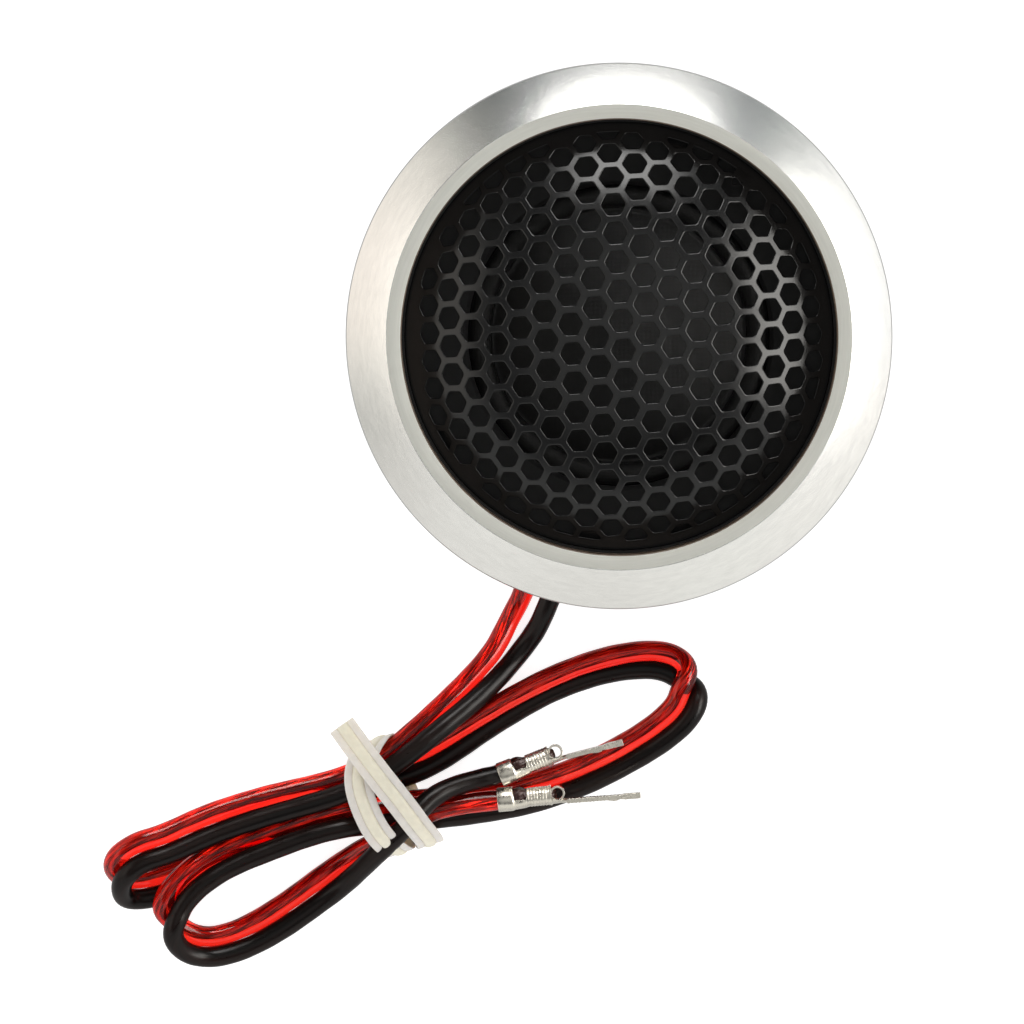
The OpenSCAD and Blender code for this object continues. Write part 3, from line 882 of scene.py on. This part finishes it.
def inside_hole(p, centres, shapes):
    """Whether a point of the web lies inside one of the two nearest holes' convex outlines."""
    for k in np.argsort(((centres - np.array(p)) ** 2).sum(1))[:2]:
        a = shapes[k]
        b = np.roll(a, -1, axis=0)
        turn = (b[:, 0] - a[:, 0]) * (p.y - a[:, 1]) - (b[:, 1] - a[:, 1]) * (p.x - a[:, 0])
        if (turn > -1e-6).all():
            return True
    return False


def web(vertices, loops, rim, centres):
    """Triangles, facing up, that fill the sheet between the holes' loops and the rim."""
    index, edges = [], []
    for loop in loops + [rim]:
        start = len(index)
        index += loop
        edges += [(start + j, start + (j + 1) % len(loop)) for j in range(len(loop))]
    flat = [Vector(vertices[i][:2]) for i in index]
    shapes = [np.array([vertices[i][:2] for i in loop]) for loop in loops]
    _, _, triangles, origin, _, _ = delaunay_2d_cdt(flat, edges, [], 0, 1e-6)
    out = []
    for triangle in triangles:
        if any(not origin[i] for i in triangle):
            continue
        ids = [index[origin[i][0]] for i in triangle]
        middle = sum((Vector(vertices[i][:2]) for i in ids), Vector((0, 0))) / 3
        if middle.length > RIM_IN or inside_hole(middle, centres, shapes):
            continue
        a, b, c = (Vector(vertices[i]) for i in ids)
        if (b - a).cross(c - a).z < 0:
            ids.reverse()
        out.append(tuple(ids))
    return out


def grille():
    """The pressed sheet: rounded hexagonal holes, the web between them, and the flat rim."""
    vertices, faces = [], []

    def add(points, drop):
        """Adds a loop on the outer surface, lowered by drop; returns its indices."""
        start = len(vertices)
        for x, y in points:
            vertices.append((x, y, float(grille_z(math.hypot(x, y))) - drop))
        return list(range(start, len(vertices)))

    def wall(a, b):
        n = len(a)
        for j in range(n):
            k = (j + 1) % n
            faces.append((a[j], a[k], b[k], b[j]))

    centres = hole_centres()
    top_loops, bottom_loops = [], []
    for centre in centres:
        loops = [add(hex_loop(centre, HEX_FLATS + 2 * grow, HOLES_R + grow), drop)
                 for grow, drop in HOLE_EDGE]
        for upper, lower in zip(loops, loops[1:]):
            wall(lower, upper)
        top_loops.append(loops[0])
        bottom_loops.append(loops[-1])

    turns = np.linspace(0, 2 * math.pi, RIM_STEPS, endpoint=False)
    circle = [(RIM_IN * math.cos(a), RIM_IN * math.sin(a)) for a in turns]
    pressed = np.array([drawn(*centre) for centre in centres])
    top_rim = add(circle, 0.0)
    faces += web(vertices, top_loops, top_rim, pressed)
    low_rim = add(circle, SHEET)
    faces += [triangle[::-1] for triangle in web(vertices, bottom_loops, low_rim, pressed)]

    rim_loops = [top_rim]
    for r, z in ((RIM_OUT - 0.08, SEAT + SHEET), (RIM_OUT, SEAT + SHEET - 0.08), (RIM_OUT, SEAT)):
        start = len(vertices)
        vertices += [(r * math.cos(a), r * math.sin(a), z) for a in turns]
        rim_loops.append(list(range(start, len(vertices))))
    rim_loops.append(low_rim)
    for inner, outer in zip(rim_loops, rim_loops[1:]):
        wall(outer, inner)
    obj = new_object("grille_mesh", vertices, faces, MATS["grille"])
    mark_sharp(obj, 50)
    return finish_piece(obj, ["grille"])


grille()


# ---------------------------------------------------------------- dome and surround

# In mm: the glue line, the sphere that the dome is part of, and the surround's half roll.
DOME_Z = 10.2
BALL_R, BALL_Z, DOME_T = 19.83, -5.03, 0.22
ROLL_MID, ROLL_R, ROLL_T = 14, 1.1, 0.2


def ball(radius, rs):
    """Points (r, z) of a sphere about the dome's centre."""
    return [(r, BALL_Z + math.sqrt(radius ** 2 - r ** 2)) for r in rs]


def half_roll(radius, angles):
    """Points (r, z) of an arc about the middle of the half roll."""
    return [(ROLL_MID + radius * math.cos(t), DOME_Z + radius * math.sin(t)) for t in angles]


def silk_dome():
    """The woven dome with the glue ring that holds it to the coil former."""
    outline = ball(BALL_R, np.linspace(0, 12.55, 48)) + [
        (12.72, 10.33), (12.86, 10.32), (12.94, 10.24), (12.94, 10.08), (12.6, 10.04), (12.3, 10.1),
    ] + ball(BALL_R - DOME_T, np.linspace(12.1, 0, 24))
    obj = lathe("silk_dome", outline, 144, MATS["dome"], sharp=60)
    return finish_piece(obj, ["dome"], "diaphragm")


def silk_surround():
    """The half roll between the dome and the diaphragm ring."""
    angles = np.radians(np.linspace(178, 8, 22))
    lip = [(15.25, 0.02), (16.6, 0.02), (16.6, -0.18), (15.1, -0.18)]
    inner_edge = [(13.05, -0.1), (12.98, -0.05)]
    outline = half_roll(ROLL_R, angles)
    outline += [(r, DOME_Z + dz) for r, dz in lip]
    outline += half_roll(ROLL_R - ROLL_T, angles[::-1])
    outline += [(r, DOME_Z + dz) for r, dz in inner_edge]
    obj = lathe("silk_surround", outline, 144, MATS["surround"], sharp=60)
    return finish_piece(obj, ["surround"])


silk_dome()
silk_surround()


# ---------------------------------------------------------------- CAD nodes that stay

NODE_MATS = {
    "front_plate": "plastic", "front_gasket": "foam",
    "coil_former": "foil", "voice_coil": "copper", "diaphragm_ring": "plastic",
    "top_plate": "zinc", "magnet": "magnet", "yoke": "zinc", "damping_pad": "felt",
    "rear_housing": "plastic", "rear_pad": "foam", "housing_screws": "screw",
    "terminal_board": "board", "terminal_lugs": "tin", "solder_joints": "solder",
    "tinsel_leads": "copper", "capacitor": "sleeve", "cable_grommet": "rubber",
}
for node, mat in NODE_MATS.items():
    obj = frame["nodes"][node]
    if not obj.material_slots:
        obj.data.materials.append(MATS[mat])
    for held in obj.material_slots:
        held.material = MATS[mat]


# ---------------------------------------------------------------- floor and light

# In metres: the floor lies just under the object.
FLOOR_HALF = 1.5
FLOOR_Z = -0.00005
FLOOR_GLOW = 0.8
MIRRORED_FLOOR = (0.6, 0.6, 0.59, 1)


def floor():
    """A white sheet; in polished metal it mirrors as a pale grey."""
    mat = bpy.data.materials.new("floor_white")
    mat.use_nodes = True
    tree = mat.node_tree
    bsdf = tree.nodes["Principled BSDF"]
    bsdf.inputs["Base Color"].default_value = (0.7, 0.7, 0.7, 1)
    bsdf.inputs["Roughness"].default_value = 0.9
    bsdf.inputs["Specular IOR Level"].default_value = 0.1
    bsdf.inputs["Emission Color"].default_value = (1, 1, 1, 1)
    bsdf.inputs["Emission Strength"].default_value = FLOOR_GLOW
    path = add_node(tree, "LightPath").outputs
    clear = add_node(tree, "Math", {0: 1.0, 1: path["Is Transmission Ray"]}, operation="SUBTRACT")
    mirrored = add_node(tree, "Math", {0: path["Is Glossy Ray"], 1: clear.outputs[0]}, operation="MULTIPLY")
    grey = add_node(tree, "Emission", {"Color": MIRRORED_FLOOR, "Strength": 1.0})
    both = add_node(tree, "MixShader", {0: mirrored.outputs[0], 1: bsdf.outputs[0], 2: grey.outputs[0]})
    tree.links.new(both.outputs[0], tree.nodes["Material Output"].inputs["Surface"])
    mesh = bpy.data.meshes.new("floor")
    corners = [(-1, -1), (1, -1), (1, 1), (-1, 1)]
    mesh.from_pydata([(FLOOR_HALF * x, FLOOR_HALF * y, 0) for x, y in corners], [], [(0, 1, 2, 3)])
    mesh.materials.append(mat)
    obj = bpy.data.objects.new("floor", mesh)
    obj.location.z = FLOOR_Z
    scene.collection.objects.link(obj)


floor()

# Brightness of the walls, by degrees from +X towards +Y.
WALLS = [
    (0, (0.95, 0.95, 0.94)), (36, (0.98, 0.97, 0.95)), (46, (0.60, 0.62, 0.60)),
    (58, (0.15, 0.17, 0.175)), (66, (0.38, 0.39, 0.39)), (76, (0.62, 0.62, 0.61)),
    (92, (0.60, 0.60, 0.59)), (101, (0.38, 0.39, 0.39)), (111, (0.13, 0.14, 0.14)),
    (121, (0.06, 0.066, 0.065)), (130, (0.44, 0.44, 0.41)), (141, (0.86, 0.82, 0.75)),
    (163, (1.0, 0.92, 0.84)), (181, (0.93, 0.86, 0.78)), (191, (0.70, 0.685, 0.64)),
    (200, (0.50, 0.495, 0.465)), (212, (0.66, 0.645, 0.61)), (235, (0.80, 0.79, 0.755)),
    (268, (0.76, 0.75, 0.715)), (290, (0.84, 0.835, 0.795)), (330, (0.94, 0.92, 0.88)),
    (346, (1.0, 0.97, 0.93)), (360, (0.95, 0.95, 0.94)),
]
# Heights in the room are sines: 0 at the horizon and 1 overhead.
WALL_TOP, CEILING_LOW, HEIGHT_SOFT = 0.50, 0.91, 0.06
# Higher than any direction, for a band that is open at one end.
FAR = 2.0
# Soft boxes: azimuth from-to, height from-to, radiance.
BOXES = [
    ((70, 106), (0.435, 0.72), (9.0, 8.9, 8.7)),
    ((-24, 36), (0.44, 0.77), (8.0, 7.8, 7.4)),
    ((150, 205), (0.42, 0.70), (1.5, 1.42, 1.3)),
    ((205, 335), (0.42, 0.66), (0.9, 0.9, 0.87)),
]
BOX_SOFT_DEGREES, BOX_SOFT_HEIGHT = 5.0, 0.05
# Colours above the walls: overhead, and between that and the walls.
CEILING = (0.56, 0.56, 0.54, 1)
GAP = (0.07, 0.07, 0.07, 1)


def world():
    """A white room: even for rough surfaces, with soft boxes and darker gaps for glossy ones."""
    w = bpy.data.worlds.new("room")
    scene.world = w
    w.use_nodes = True
    tree = w.node_tree
    tree.nodes.clear()
    node = partial(add_node, tree)

    def calc(operation, a, b=0.0, c=0.0):
        return node("Math", {0: a, 1: b, 2: c}, operation=operation).outputs[0]

    def feather(value, low, high, soft):
        """1 between low and high, with soft edges."""
        up = node("MapRange", {"Value": value, "From Min": low - soft, "From Max": low + soft},
                  interpolation_type="SMOOTHSTEP").outputs["Result"]
        down = node("MapRange", {"Value": value, "From Min": high - soft, "From Max": high + soft,
                                 "To Min": 1.0, "To Max": 0.0},
                    interpolation_type="SMOOTHSTEP").outputs["Result"]
        return calc("MULTIPLY", up, down)

    xyz = node("SeparateXYZ", {0: node("TexCoord").outputs["Generated"]}).outputs
    degrees = calc("DEGREES", calc("ARCTAN2", xyz[1], xyz[0]))
    around_room = calc("FLOORED_MODULO", degrees, 360.0)
    ramp = node("ValToRGB", {"Fac": calc("DIVIDE", around_room, 360.0)})
    ramp.color_ramp.interpolation = "EASE"
    set_stops(ramp, [(turn / 360, colour) for turn, colour in WALLS])
    walls = feather(xyz[2], -FAR, WALL_TOP, HEIGHT_SOFT)
    overhead = feather(xyz[2], CEILING_LOW, FAR, HEIGHT_SOFT)
    dim = node("MixRGB", {"Fac": overhead, "Color1": GAP, "Color2": CEILING}).outputs[0]
    room = node("MixRGB", {"Fac": walls, "Color1": dim, "Color2": ramp.outputs[0]}).outputs[0]
    for (start, stop), (low, high), colour in BOXES:
        middle, half = (start + stop) / 2, (stop - start) / 2
        away = calc("ABSOLUTE", calc("WRAP", calc("SUBTRACT", degrees, middle), 180.0, -180.0))
        beside = feather(away, -180.0, half, BOX_SOFT_DEGREES)
        mask = calc("MULTIPLY", beside, feather(xyz[2], low, high, BOX_SOFT_HEIGHT))
        room = node("MixRGB", {"Fac": mask, "Color1": room, "Color2": (*colour, 1)}).outputs[0]
    path = node("LightPath").outputs
    mirrored = calc("MAXIMUM", path["Is Glossy Ray"], path["Is Transmission Ray"])
    glossy = node("Background", {"Color": room, "Strength": 1.0}).outputs[0]
    soft = node("Background", {"Color": (1, 1, 0.985, 1), "Strength": 0.95}).outputs[0]
    white = node("Background", {"Color": (1, 1, 1, 1), "Strength": 1.05}).outputs[0]
    both = node("MixShader", {0: mirrored, 1: soft, 2: glossy}).outputs[0]
    seen = node("MixShader", {0: path["Is Camera Ray"], 1: both, 2: white}).outputs[0]
    tree.links.new(seen, node("OutputWorld").inputs["Surface"])


world()

scene.view_settings.view_transform = "Standard"
scene.view_settings.look = "None"
